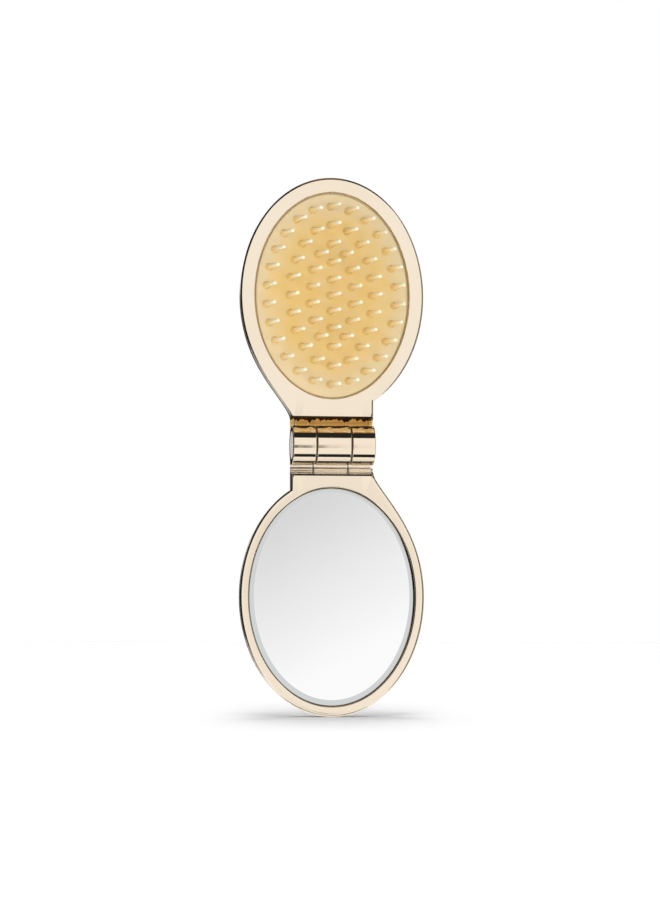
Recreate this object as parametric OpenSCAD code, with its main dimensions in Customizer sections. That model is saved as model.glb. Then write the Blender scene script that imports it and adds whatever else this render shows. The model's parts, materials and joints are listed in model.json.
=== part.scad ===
// Folding hairbrush with mirror, opened flat and standing on the tip of its mirror half.
// Millimetres. X is across, -Y is the side with the pins and the mirror, +Z is along the length.

/* [Halves] */
// Width of each oval half
half_w = 61.4; // [56:0.2:70]
// Height of each oval
half_h = 78.8; // [74:0.2:90]
// Distance from the hinge axis to the centre of each oval
axis_to_centre = 49.9; // [49:0.1:56]
// Width of the neck that carries the hinge
neck_w = 27.6; // [26:0.2:30]
// Depth of the brush half, from its face to its back
brush_depth = 15.6; // [15.6:0.1:18]
// Depth of the mirror half, from its face to its back
mirror_depth = 10.5; // [10.5:0.1:13]
// Wall of the shells
wall = 1.4; // [1.2:0.1:1.6]
// Radius of the front edges
front_edge = 0.9; // [0.6:0.1:1.2]
// How far in from the side the back starts to curve
back_curve = 8; // [6:0.5:9]
// Gap between the two faces when the halves are folded together
face_gap = 0.2; // [0.1:0.1:0.4]

/* [Hinge] */
// Radius of the hinge barrel
barrel_r = 6.6; // [6.2:0.1:7]
// Length of the hinge barrel
barrel_len = 27.2; // [26:0.2:27.4]
// Length of the middle knuckle
middle_len = 11.2; // [10:0.2:13]
// Gap between two knuckles, filled by a washer
knuckle_gap = 0.4; // [0.3:0.1:0.6]
// Radius of the hinge shaft
shaft_r = 2; // [1.6:0.1:2.2]
// Radius of the cove beside the barrel
cove_r = 2.8; // [2.6:0.1:3.2]

/* [Brush] */
// Width of the oval opening for the cushion
opening_w = 51.6; // [48:0.2:52]
// Height of the oval opening for the cushion
opening_h = 68.8; // [64:0.2:69]
// How far the cushion lies below the face
cushion_recess = 0.8; // [0.4:0.1:1.2]
// Length of a pin above the cushion
pin_len = 9.8; // [8:0.1:9.8]
// How far the cushion goes back as the halves close
travel = 8; // [6.2:0.1:8]

/* [Mirror] */
// Width of the mirror
glass_w = 54.7; // [50:0.1:55]
// Height of the mirror
glass_h = 71.5; // [66:0.1:72]
// Width of the bevel on the mirror
bevel_w = 1.9; // [1:0.1:3]
// How far the mirror lies below the face
glass_recess = 1; // [0.9:0.1:1.2]

/* [Hidden] */
$fn = 64;

gold = [0.90, 0.80, 0.63];
cream = [0.93, 0.80, 0.57];
steel = [0.72, 0.73, 0.75];
nylon = [0.24, 0.15, 0.09];

// The face of both halves lies just behind the hinge axis
face_y = face_gap / 2;
stop_z = 0.1;
tip_z = axis_to_centre + half_h / 2;
seam_y = 6.7;
seam_cut = 0.25;
seam_gap = 0.15;
curve_y = 8;
far = 60;
// How far a shape that joins another one reaches into it
sunk = 0.2;

// Outline of a half: end of the neck, sharp corner, oval, then a soft sweep back to the neck
oval_steps = 66;
sweep_steps = 12;
sweep_at = 205;
sweep_end = 8.5;
sweep_pull_oval = 13.4;
sweep_pull_neck = 4.2;
corner_at = -acos(neck_w / half_w);

// Tongue of the back shells
tongue_gap = 0.1;
tongue_t = 0.8;
tongue_len = 1.2;

// Front plate, well, and the tray that slides in it
plate = 1.6;
slide_gap = 0.25;
cushion_w = opening_w - 0.6;
cushion_h = opening_h - 0.6;
tray_w = opening_w + 1.8;
tray_h = opening_h + 1.8;
well_w = tray_w + 2 * slide_gap;
well_h = tray_h + 2 * slide_gap;
well_wall = 0.95;
cushion_y = face_y + cushion_recess;
cushion_t = 1.4;
cushion_side = 1.2;
cushion_rim = 0.7;
flange = 0.8;
flange_t = 0.5;
cushion_skirt = 1;
tray_y = cushion_y + cushion_t + cushion_skirt;
tray_t = 1;
// The well ends just behind the front of the tray at the end of its travel
well_back = tray_y + travel + 0.1;

// Pins: rings of half widths, half heights and counts, and one row down the middle
pin_rings = [[21.5, 29.6, 26], [13.8, 23.5, 20], [7.1, 17.1, 14]];
pin_row = [-10.9, -5.2, 0, 5.2, 10.9];
pin_hole_r = 0.8;
pin_shank_r = 0.62;
pin_neck_r = 0.45;
pin_tip_r = 0.6;
pin_head_r = 1.9;
pin_head_t = 0.8;
// Flared foot of a pin, as radius and height above the cushion
pin_flare = [[1.3, 0], [1, 0.25], [0.74, 0.75], [pin_shank_r, 1.4]];
arc_steps = 180;

// Conical springs between the tray and the back cover
spring_x = 13;
spring_z = 16;
spring_small_r = 2;
spring_large_r = 4;
wire_r = 0.25;
spring_turns = 4;
turn_steps = 16;
wire_sides = 6;
seat_r = 1.5;
seat_t = 0.8;

// Hinge
middle_half = middle_len / 2;
outer_from = middle_half + knuckle_gap;
barrel_half = barrel_len / 2;
edge_cut = 0.25;
end_step = 0.06;
barrel_clear_r = barrel_r + 0.25;
block_r = 8.2;
block_back = 7.6;
block_half = neck_w / 2 - 1.8;
block_gap = 0.1;
block_side_gap = 0.35;
core_inside = 0.5;
cove_z = axis_to_centre - 43.4;
cove_back = 1.6;
shaft_fit = 0.05;
shaft_half = 12.2;
shaft_edge = 0.3;
cap_r = 4.6;
cap_from = 12.4;
cap_rim = 0.8;
cap_dish = 0.4;
cap_edge = 0.3;
cap_pocket = 11;
clip_r = 3.4;
clip_t = 0.5;
wave_r = clip_r + 0.4;
wave_t = 0.4;
washer_r = barrel_r - 0.3;
side_gap = 0.02;
washer_side_gap = end_step + side_gap;
washer_gap = 0.1;

// Mirror pocket, tape and screws
glass_gap = 0.45;
glass_t = 1.9;
bevel_drop = 0.6;
tape_t = 0.6;
pocket_t = glass_recess + glass_t + tape_t;
seat_plate = 1.2;
screw_x = 14;
screw_z = 18;
screw_r = 0.85;
screw_head_r = 1.7;
screw_len = 5;
screw_sink = 0.5;
boss_r = 2.2;

// ---- Functions ----

function unit(v) = v / norm(v);

function bezier(a, b, c, d, t) =
    pow(1 - t, 3) * a + 3 * pow(1 - t, 2) * t * b + 3 * (1 - t) * t * t * c + pow(t, 3) * d;

function oval(w, h, steps = 96) =
    [for (i = [0:steps - 1]) [w / 2 * cos(i * 360 / steps), h / 2 * sin(i * 360 / steps) + axis_to_centre]];

function half_oval_point(t) = [half_w / 2 * cos(t), axis_to_centre + half_h / 2 * sin(t)];

function half_outline() =
    let (start = half_oval_point(sweep_at),
         tangent = unit([-half_w * sin(sweep_at), half_h * cos(sweep_at)]),
         end = [-neck_w / 2, sweep_end])
    concat([[-neck_w / 2, stop_z], [neck_w / 2, stop_z]],
           [for (i = [0:oval_steps]) half_oval_point(corner_at + i * (sweep_at - corner_at) / oval_steps)],
           [for (i = [1:sweep_steps])
                bezier(start, start + sweep_pull_oval * tangent, end + [0, sweep_pull_neck], end,
                       i / sweep_steps)]);

// How each point of a closed outline moves when the outline is drawn in by 1
function miters(pts) =
    let (n = len(pts))
    [for (i = [0:n - 1])
        let (u = unit(pts[i] - pts[(i + n - 1) % n]),
             w = unit(pts[(i + 1) % n] - pts[i]),
             a = [-u[1], u[0]],
             b = [-w[1], w[0]])
        (a + b) / (1 + a * b)];

// Angles on an oval of half width a and half height b at which n pins are evenly spaced
function even_angles(a, b, n) =
    let (step = 360 / arc_steps,
         lengths = [for (i = 0, s = 0; i <= arc_steps;
                         s = s + norm([a * (cos(90 + (i + 1) * step) - cos(90 + i * step)),
                                       b * (sin(90 + (i + 1) * step) - sin(90 + i * step))]),
                         i = i + 1) s],
         table = [for (i = [0:arc_steps]) [lengths[i], 90 + i * step]])
    [for (k = [0:n - 1]) lookup(k * lengths[arc_steps] / n, table)];

function pin_places() =
    concat([for (ring = pin_rings) for (t = even_angles(ring[0], ring[1], ring[2]))
                [ring[0] * cos(t), ring[1] * sin(t) + axis_to_centre]],
           [for (z = pin_row) [0, z + axis_to_centre]]);

// A quarter of a rounded edge as [inset, depth] pairs, from the side wall to the flat
function round_edge(inset, depth, width, height, steps) =
    [for (i = [0:steps]) [inset + width * (1 - cos(i * 90 / steps)), depth + height * sin(i * 90 / steps)]];

// ---- Shared shapes ----

// Everything is drawn around the hinge axis, then set down on the tip of the mirror half
module place() {
    front = cushion_y - pin_len;
    back = face_y + brush_depth;
    translate([0, -(front + back) / 2, tip_z]) children();
}

module mirror_side() {
    place() rotate([0, 180, 0]) children();
}

module along_x(x0, x1, r, y = 0, z = 0) {
    translate([x0, y, z]) rotate([0, 90, 0]) cylinder(h = x1 - x0, r = r);
}

module along_y(y0, y1) {
    translate([0, y1, 0]) rotate([90, 0, 0]) linear_extrude(y1 - y0) children();
}

// Skin through a stack of insets of one outline, closed at both ends by fans round the oval's centre.
// A profile that starts inside and ends on the front face is wound the other way: front_last
module loft(pts, profile, front_last = false) {
    n = len(pts);
    m = miters(pts);
    rings = [for (s = profile) for (i = [0:n - 1])
                [pts[i][0] + s[0] * m[i][0], s[1], pts[i][1] + s[0] * m[i][1]]];
    centres = [for (s = [profile[0], profile[len(profile) - 1]]) [0, s[1], axis_to_centre]];
    last = (len(profile) - 1) * n;
    first_fan = [for (i = [0:n - 1]) [(i + 1) % n, i, len(rings)]];
    last_fan = [for (i = [0:n - 1]) [last + i, last + (i + 1) % n, len(rings) + 1]];
    sides = [for (k = [0:len(profile) - 2]) for (i = [0:n - 1])
                let (j = (i + 1) % n) [k * n + i, k * n + j, (k + 1) * n + j, (k + 1) * n + i]];
    faces = concat(first_fan, sides, last_fan);
    function turned(f) = [for (i = [len(f) - 1:-1:0]) f[i]];
    polyhedron(points = concat(rings, centres),
               faces = front_last ? [for (f = faces) turned(f)] : faces,
               convexity = 6);
}

module knuckle(x0, x1) {
    rotate([0, 90, 0]) rotate_extrude()
        polygon([[0, x0], [barrel_r - edge_cut, x0], [barrel_r, x0 + edge_cut],
                 [barrel_r, x1 - edge_cut], [barrel_r - edge_cut, x1], [0, x1]]);
}

// Core of a neck, behind the barrel and the cove, from depth y0 and length z0
module neck_core(y0, z0, grow = 0, side_grow = 0) {
    half = block_half + side_grow;
    intersection() {
        union() {
            along_x(-half, half, block_r + grow);
            along_x(-half, half, cove_r + cove_back + grow, 0, cove_z);
        }
        translate([-half, y0, z0]) cube([2 * half, block_back + grow - y0, far]);
    }
}

module hinge_block() {
    neck_core(face_y + core_inside, stop_z + core_inside);
}

module cove() {
    along_x(-neck_w, neck_w, cove_r, 0, cove_z);
}

// Front shell of a half: face plate of the given thickness and a skirt back to the seam
module front_shell(plate_t) {
    loft(half_outline(),
         concat([[wall, face_y + plate_t], [wall, seam_y], [seam_gap, seam_y], [0, seam_y - seam_cut]],
                [for (s = round_edge(0, 0, front_edge, front_edge, 3))
                    [s[0], face_y + front_edge - s[1]]]),
         front_last = true);
}

// Front shell with a round gap for the whole barrel
module clear_shell(plate_t) {
    difference() {
        front_shell(plate_t);
        along_x(-neck_w, neck_w, barrel_clear_r);
    }
}

// Back shell of a half: rounded back, and a tongue that snaps into the front shell
module back_shell(depth) {
    back = face_y + depth;
    inner = round_edge(wall, curve_y, back_curve - wall, back - wall - curve_y, 4);
    in_face = wall + tongue_gap;
    in_back = in_face + tongue_t;
    difference() {
        loft(half_outline(),
             concat([for (i = [4:-1:1]) inner[i]],
                    [[in_back, curve_y + 0.2], [in_back, seam_y - tongue_len],
                     [in_face, seam_y - tongue_len], [in_face, seam_y],
                     [seam_gap, seam_y], [0, seam_y + seam_cut]],
                    round_edge(0, curve_y, back_curve, back - curve_y, 6)));
        neck_core(-1, -1, block_gap, block_side_gap);
        along_x(-neck_w, neck_w, barrel_clear_r + block_gap);
    }
}

// ---- Brush half ----

module brush_frame() {
    color(gold) place() difference() {
        union() {
            difference() {
                union() {
                    clear_shell(plate);
                    along_y(face_y + plate - sunk, well_back) difference() {
                        polygon(oval(well_w + 2 * well_wall, well_h + 2 * well_wall));
                        polygon(oval(well_w, well_h));
                    }
                    hinge_block();
                }
                along_y(-1, face_y + plate + 0.1) polygon(oval(opening_w, opening_h));
                cove();
                along_x(-outer_from + end_step, outer_from - end_step, barrel_clear_r);
            }
            knuckle(-barrel_half, -outer_from);
            knuckle(outer_from, barrel_half);
        }
        along_x(-far, far, shaft_r + shaft_fit);
        along_x(-far, -cap_pocket, cap_r);
        along_x(cap_pocket, far, cap_r);
    }
}

module brush_cover() {
    inner_y = face_y + brush_depth - wall;
    color(gold) place() union() {
        back_shell(brush_depth);
        for (x = [-spring_x, spring_x]) for (z = [-spring_z, spring_z])
            translate([x, inner_y + sunk, axis_to_centre + z]) rotate([90, 0, 0])
                cylinder(h = seat_t + sunk, r = seat_r);
    }
}

module cushion_pad() {
    color(cream) place() difference() {
        loft(oval(cushion_w, cushion_h),
             concat([[cushion_side, cushion_y + cushion_t], [cushion_side, tray_y], [-flange, tray_y],
                     [-flange, tray_y - flange_t], [0, tray_y - flange_t]],
                    [for (s = round_edge(0, 0, cushion_rim, cushion_rim, 3))
                        [s[0], cushion_y + cushion_rim - s[1]]]),
             front_last = true);
        for (p = pin_places())
            translate([p[0], cushion_y + cushion_t + 0.1, p[1]]) rotate([90, 0, 0])
                cylinder(h = cushion_t + 0.2, r = pin_hole_r);
    }
}

// One pin with its head behind the cushion, a flared foot, a slender shank and a ball tip
module pin() {
    ball = pin_len - pin_tip_r;
    neck_at = acos(pin_neck_r / pin_tip_r);
    rotate_extrude($fn = 32)
        polygon(concat([[0, -cushion_t - pin_head_t], [pin_head_r, -cushion_t - pin_head_t],
                        [pin_head_r, -cushion_t], [pin_hole_r, -cushion_t], [pin_hole_r, 0]],
                       pin_flare,
                       [for (i = [0:4])
                           let (a = -neck_at + i * (90 + neck_at) / 4)
                           [pin_tip_r * cos(a), ball + pin_tip_r * sin(a)]]));
}

module brush_pins() {
    color(cream) place()
        for (p = pin_places()) translate([p[0], cushion_y, p[1]]) rotate([90, 0, 0]) pin();
}

module cushion_ring() {
    front = face_y + plate + 0.1;
    color(cream) place() difference() {
        along_y(front, tray_y) polygon(oval(tray_w, tray_h));
        along_y(front - 1, tray_y + 1) polygon(oval(cushion_w + 0.1, cushion_h + 0.1));
        along_y(tray_y - flange_t, tray_y + 1)
            polygon(oval(cushion_w + 2 * flange + 0.1, cushion_h + 2 * flange + 0.1));
    }
}

module pad_carrier() {
    color(cream) place() union() {
        along_y(tray_y, tray_y + tray_t) polygon(oval(tray_w, tray_h));
        for (x = [-spring_x, spring_x]) for (z = [-spring_z, spring_z])
            translate([x, tray_y + tray_t + seat_t, axis_to_centre + z]) rotate([90, 0, 0])
                cylinder(h = seat_t + sunk, r = seat_r);
    }
}

function coil_point(i, k, length) =
    let (steps = spring_turns * turn_steps,
         s = i / steps,
         r = spring_small_r + (spring_large_r - spring_small_r) * s,
         turn = s * spring_turns * 360,
         side = k * 360 / wire_sides,
         ring = r + wire_r * cos(side))
    [ring * cos(turn), ring * sin(turn), wire_r + s * (length - 2 * wire_r) + wire_r * sin(side)];

module spring(length) {
    steps = spring_turns * turn_steps;
    polyhedron(points = [for (i = [0:steps]) for (k = [0:wire_sides - 1]) coil_point(i, k, length)],
               faces = concat([[for (k = [wire_sides - 1:-1:0]) k]],
                              [[for (k = [0:wire_sides - 1]) steps * wire_sides + k]],
                              [for (i = [0:steps - 1]) for (k = [0:wire_sides - 1])
                                  let (j = (k + 1) % wire_sides, a = i * wire_sides)
                                  [a + k, a + j, a + wire_sides + j, a + wire_sides + k]]),
               convexity = 10);
}

module return_springs() {
    from = tray_y + tray_t;
    color(steel) place()
        for (x = [-spring_x, spring_x]) for (z = [-spring_z, spring_z])
            translate([x, from, axis_to_centre + z]) rotate([-90, 0, 0])
                spring(face_y + brush_depth - wall - from);
}

// ---- Hinge ----

module hinge_cap(side) {
    color(gold) place() mirror([side < 0 ? 1 : 0, 0, 0]) rotate([0, 90, 0]) rotate_extrude()
        polygon([[0, cap_from + cap_dish], [cap_r - cap_rim, cap_from + cap_dish],
                 [cap_r - cap_rim, cap_from], [cap_r, cap_from], [cap_r, barrel_half - cap_edge / 2],
                 [cap_r - cap_edge, barrel_half],
                 [0, barrel_half]]);
}

module hinge_cap_left() { hinge_cap(-1); }
module hinge_cap_right() { hinge_cap(1); }

module hinge_shaft() {
    color(steel) place() rotate([0, 90, 0]) rotate_extrude()
        polygon([[0, -shaft_half], [shaft_r - shaft_edge, -shaft_half],
                 [shaft_r, -shaft_half + shaft_edge], [shaft_r, shaft_half - shaft_edge],
                 [shaft_r - shaft_edge, shaft_half], [0, shaft_half]]);
}

module ring_x(x0, x1, outer, inner) {
    difference() {
        along_x(x0, x1, outer);
        along_x(x0 - 1, x1 + 1, inner);
    }
}

module shaft_clip_left() {
    at = -cap_pocket - wave_t - 2 * side_gap;
    color(steel) place() ring_x(at - clip_t, at, clip_r, shaft_r);
}

module shaft_clip_right() {
    at = cap_pocket + side_gap;
    color(steel) place() ring_x(at, at + clip_t, clip_r, shaft_r);
}

module wave_washer() {
    at = -cap_pocket - side_gap;
    color(steel) place() ring_x(at - wave_t, at, wave_r, shaft_r + washer_gap);
}

module friction_washer_left() {
    color(nylon) place()
        ring_x(-outer_from + washer_side_gap, -middle_half - washer_side_gap, washer_r, shaft_r + washer_gap);
}

module friction_washer_right() {
    color(nylon) place()
        ring_x(middle_half + washer_side_gap, outer_from - washer_side_gap, washer_r, shaft_r + washer_gap);
}

// ---- Mirror half ----

module screw_places() {
    for (x = [-screw_x, screw_x]) for (z = [-screw_z, screw_z])
        translate([x, face_y + pocket_t, axis_to_centre + z]) rotate([-90, 0, 0]) children();
}

module screw() {
    cylinder(h = screw_head_r - screw_r, r1 = screw_head_r, r2 = screw_r);
    cylinder(h = screw_len, r = screw_r);
}

module screw_hole() {
    translate([0, 0, -screw_sink]) cylinder(h = screw_sink, r = screw_head_r);
    screw();
}

module mirror_frame() {
    color(gold) mirror_side() difference() {
        union() {
            difference() {
                union() {
                    clear_shell(pocket_t + seat_plate);
                    hinge_block();
                }
                along_y(-1, face_y + pocket_t)
                    polygon(oval(glass_w + 2 * glass_gap, glass_h + 2 * glass_gap));
                cove();
                along_x(-far, -middle_half - end_step, barrel_clear_r);
                along_x(middle_half + end_step, far, barrel_clear_r);
                screw_places() screw_hole();
            }
            knuckle(-middle_half, middle_half);
        }
        along_x(-far, far, shaft_r);
    }
}

module mirror_cover() {
    seat_y = face_y + pocket_t + seat_plate;
    inner_y = face_y + mirror_depth - wall;
    color(gold) mirror_side() difference() {
        union() {
            back_shell(mirror_depth);
            for (x = [-screw_x, screw_x]) for (z = [-screw_z, screw_z])
                translate([x, inner_y + sunk, axis_to_centre + z])
                    rotate([90, 0, 0])
                        cylinder(h = inner_y + sunk - seat_y, r = boss_r);
        }
        screw_places() cylinder(h = screw_len, r = screw_r);
    }
}

module mirror_glass() {
    front = face_y + glass_recess;
    color([0.82, 0.86, 0.88]) mirror_side()
        loft(oval(glass_w, glass_h),
             [[bevel_w, front], [0, front + bevel_drop], [0, front + glass_t]]);
}

module mirror_tape() {
    front = face_y + glass_recess + glass_t;
    color("dimgray") mirror_side()
        along_y(front, front + tape_t) polygon(oval(glass_w - 2, glass_h - 2));
}

module mirror_screws() {
    color(steel) mirror_side() screw_places() screw();
}

brush_frame();
brush_cover();
cushion_pad();
brush_pins();
cushion_ring();
pad_carrier();
return_springs();
hinge_cap_left();
hinge_cap_right();
hinge_shaft();
shaft_clip_left();
shaft_clip_right();
wave_washer();
friction_washer_left();
friction_washer_right();
mirror_frame();
mirror_cover();
mirror_glass();
mirror_tape();
mirror_screws();
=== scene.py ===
# %% [markdown]
# # A folding brush with a mirror
# The object is a pocket brush. Two oval halves meet at a barrel hinge: the upper half carries a cushion with
# 65 pins, the lower half a bevelled mirror. Both shells are moulded plastic with a thin polished metal coat
# the colour of pale champagne, so almost everything one sees on them is a reflection. That is why the meshes
# below spend their detail on edges: a rounded edge is what draws a bright or dark line on a polished part.

import json
import math

import bmesh
import bpy
import numpy as np
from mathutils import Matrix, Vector


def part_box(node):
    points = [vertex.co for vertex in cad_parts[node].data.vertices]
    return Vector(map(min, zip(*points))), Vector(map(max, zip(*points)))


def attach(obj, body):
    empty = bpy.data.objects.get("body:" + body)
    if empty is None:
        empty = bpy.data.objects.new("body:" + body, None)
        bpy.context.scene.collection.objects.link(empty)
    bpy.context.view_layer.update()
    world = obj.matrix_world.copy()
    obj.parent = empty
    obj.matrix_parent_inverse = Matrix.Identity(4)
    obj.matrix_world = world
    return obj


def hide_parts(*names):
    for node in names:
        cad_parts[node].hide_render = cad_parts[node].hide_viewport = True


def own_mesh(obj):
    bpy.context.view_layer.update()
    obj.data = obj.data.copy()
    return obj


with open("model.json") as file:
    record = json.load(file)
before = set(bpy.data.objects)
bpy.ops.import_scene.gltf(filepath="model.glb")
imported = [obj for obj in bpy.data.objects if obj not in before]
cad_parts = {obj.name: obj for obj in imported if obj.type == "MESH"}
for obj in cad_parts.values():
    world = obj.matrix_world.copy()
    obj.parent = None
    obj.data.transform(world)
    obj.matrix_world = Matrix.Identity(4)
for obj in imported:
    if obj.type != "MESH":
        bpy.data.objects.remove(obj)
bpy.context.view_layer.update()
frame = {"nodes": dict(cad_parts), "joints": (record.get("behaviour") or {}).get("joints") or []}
MM = 0.001
fold = next(j for j in frame["joints"] if j["name"] == "fold")
AXIS = np.array(fold["pos_m"])

# %% [markdown]
# ## Two halves, one drawing
# Both halves have the same outline, and the mirror half is the brush half turned by 180 degrees about the
# line of sight. So each shape is drawn once, in millimetres, as seen from the hinge: x across, y backwards
# and v along the half, away from the hinge. `place` turns such points into the part's own frame. Width and
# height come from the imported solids. `CENTRE` is the middle of the oval, `END` the end of the neck, and
# `FACE` and `CUSHION_Y` are the depths of the front face and of the cushion behind the hinge axis.

# %% Placing
BRUSH, MIRROR = 1, -1


def place(points, side):
    """Points (x, y, v) of one half, in millimetres from the hinge axis, as points of the part in metres."""
    p = np.asarray(points, dtype=float)
    return np.stack([side * p[:, 0], p[:, 1], side * p[:, 2]], axis=1) * MM + AXIS


half_low, half_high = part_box("brush_cover")
HALF_W = (half_high.x - half_low.x) / MM
TIP = (half_high.z - AXIS[2]) / MM
CENTRE = 49.9
HALF_H = 2 * (TIP - CENTRE)
NECK_W = 27.6
END = 0.1
FACE = 0.1
CUSHION_Y = FACE + 0.8
print("oval", round(HALF_W, 2), "by", round(HALF_H, 2), "mm, centred", CENTRE, "mm from the axis")

# %% [markdown]
# ## The outline
# An oval would be easy, but the neck makes the character of this shape. It meets the oval in a sharp corner
# on one side and in a long soft sweep on the other. The oval is a formula, the sweep is one cubic curve that
# starts along the oval and ends along the neck. `SWEEP_AT` is the angle at which it leaves the oval and
# `SWEEP_END` the place where it reaches the neck; the two pulls say how long it keeps each direction. Drawn
# in fine steps, it needs no smoothing later.

# %% Outline of a half
SWEEP_AT = 205
SWEEP_END = 8.5
SWEEP_PULL_OVAL = 13.4
SWEEP_PULL_NECK = 4.2


def oval(width, height, steps=240, lift=0.0):
    """A closed oval round the half's centre, counter-clockwise, as (x, v)."""
    t = np.arange(steps) * 2 * math.pi / steps
    return np.stack([width / 2 * np.cos(t), CENTRE + lift + height / 2 * np.sin(t)], axis=1)


def cubic(a, b, c, d, steps):
    """Points of a cubic curve after its first point."""
    t = np.arange(1, steps + 1)[:, None] / steps
    return (1 - t) ** 3 * a + 3 * (1 - t) ** 2 * t * b + 3 * (1 - t) * t * t * c + t**3 * d


def half_outline(oval_steps=230, sweep_steps=36, neck_steps=8):
    """The outline of a half as (x, v), counter-clockwise from the left end of the neck."""
    corner = -math.acos(NECK_W / HALF_W)
    t = np.linspace(corner, math.radians(SWEEP_AT), oval_steps)
    rim = np.stack([HALF_W / 2 * np.cos(t), CENTRE + HALF_H / 2 * np.sin(t)], axis=1)
    along = np.array([-HALF_W * math.sin(t[-1]), HALF_H * math.cos(t[-1])])
    along /= np.linalg.norm(along)
    end = np.array([-NECK_W / 2, SWEEP_END])
    leave, arrive = rim[-1] + SWEEP_PULL_OVAL * along, end + [0, SWEEP_PULL_NECK]
    sweep = cubic(rim[-1], leave, arrive, end, sweep_steps)
    down = np.linspace(SWEEP_END, END, neck_steps)[1:]
    up = np.linspace(END, rim[0][1], neck_steps)[:-1]
    left = np.stack([np.full(len(down), -NECK_W / 2), down], axis=1)
    right = np.stack([np.full(len(up), NECK_W / 2), up], axis=1)
    return np.concatenate([right, rim, sweep, left])


OUTLINE = half_outline()
print(len(OUTLINE), "points in the outline")

# %% [markdown]
# ## Skins from insets
# A moulded shell is one outline drawn in again and again at different depths. `loft` takes the outline and a
# list of (inset, depth) pairs and joins the rings with quads. The inset of a corner point runs along the
# mitre, so edges stay parallel and a rounded edge keeps its width all the way round. At the square end of the
# neck the rings would cross, so each is held back by its own inset. The ends are closed with fans round the
# oval's centre: one many-sided face would fold over itself where the outline is hollow.


# %% Insets and lofts
def mitres(outline):
    """How each point of a closed outline moves when the outline is drawn in by 1."""
    before = outline - np.roll(outline, 1, axis=0)
    after = np.roll(outline, -1, axis=0) - outline
    before /= np.linalg.norm(before, axis=1)[:, None]
    after /= np.linalg.norm(after, axis=1)[:, None]
    a = np.stack([-before[:, 1], before[:, 0]], axis=1)
    b = np.stack([-after[:, 1], after[:, 0]], axis=1)
    return (a + b) / (1 + (a * b).sum(axis=1))[:, None]


def new_object(name, points, faces, side):
    """A mesh object from points of one half, with its faces turned outwards."""
    mesh = bpy.data.meshes.new(name)
    mesh.from_pydata(place(points, side).tolist(), [], faces)
    work = bmesh.new()
    work.from_mesh(mesh)
    bmesh.ops.recalc_face_normals(work, faces=work.faces)
    work.to_mesh(mesh)
    work.free()
    obj = bpy.data.objects.new(name, mesh)
    bpy.context.scene.collection.objects.link(obj)
    return obj


def loft(name, outline, profile, side):
    """A closed skin through insets of one outline, with a fan of triangles over each end."""
    n = len(outline)
    move = mitres(outline)
    rings = []
    for inset, depth in profile:
        ring = outline + inset * move
        ring[:, 1] = np.maximum(ring[:, 1], outline[:, 1].min() + inset)
        rings.append(np.stack([ring[:, 0], np.full(n, depth), ring[:, 1]], axis=1))
    faces = []
    for k in range(len(profile) - 1):
        for i in range(n):
            j = (i + 1) % n
            faces.append((k * n + i, k * n + j, (k + 1) * n + j, (k + 1) * n + i))
    for k in (0, len(profile) - 1):
        hub = len(profile) * n + (k > 0)
        faces += [(k * n + i, k * n + (i + 1) % n, hub) for i in range(n)]
        rings.append([[0, profile[k][1], CENTRE]])
    return new_object(name, np.concatenate(rings), faces, side)


# %% [markdown]
# ## Shader groups
# Some effects show on more than one material: a moulded surface is never perfectly flat, handling leaves
# fine hairline marks, and dust gathers where nobody wipes. Each is a node group with named sockets, built
# once. A group puts out only values or normals; the Principled shader stays in each material.


# %% Group helpers
def new_group(name, inputs, outputs):
    """An empty shader group with float inputs {name: default} and outputs {name: socket type}."""
    group = bpy.data.node_groups.new(name, "ShaderNodeTree")
    for label, value in inputs.items():
        socket = group.interface.new_socket(label, in_out="INPUT", socket_type="NodeSocketFloat")
        socket.default_value = value
    for label, kind in outputs.items():
        group.interface.new_socket(label, in_out="OUTPUT", socket_type=kind)
    return group, group.nodes.new("NodeGroupInput"), group.nodes.new("NodeGroupOutput")


def noise(tree, scale, detail=2.0, roughness=0.5, stretch=(1, 1, 1)):
    """A noise texture in the part's own frame. stretch squeezes it along an axis."""
    place_node = tree.nodes.new("ShaderNodeTexCoord")
    mapping = tree.nodes.new("ShaderNodeMapping")
    mapping.inputs["Scale"].default_value = stretch
    tree.links.new(place_node.outputs["Object"], mapping.inputs["Vector"])
    texture = tree.nodes.new("ShaderNodeTexNoise")
    texture.inputs["Scale"].default_value = scale
    texture.inputs["Detail"].default_value = detail
    texture.inputs["Roughness"].default_value = roughness
    tree.links.new(mapping.outputs["Vector"], texture.inputs["Vector"])
    return texture.outputs["Fac"]


def math_node(tree, operation, a, b, clamp=False):
    """One Math node; a and b are sockets or numbers."""
    node = tree.nodes.new("ShaderNodeMath")
    node.operation = operation
    node.use_clamp = clamp
    for slot_in, value in zip(node.inputs, (a, b)):
        if isinstance(value, (int, float)):
            slot_in.default_value = value
        else:
            tree.links.new(value, slot_in)
    return node.outputs[0]


def remap(tree, value, low, high, to_low=0.0, to_high=1.0):
    """Map Range with smooth ends."""
    node = tree.nodes.new("ShaderNodeMapRange")
    node.interpolation_type = "SMOOTHSTEP"
    for label, number in (
        ("From Min", low),
        ("From Max", high),
        ("To Min", to_low),
        ("To Max", to_high),
    ):
        node.inputs[label].default_value = number
    tree.links.new(value, node.inputs["Value"])
    return node.outputs["Result"]


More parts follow.
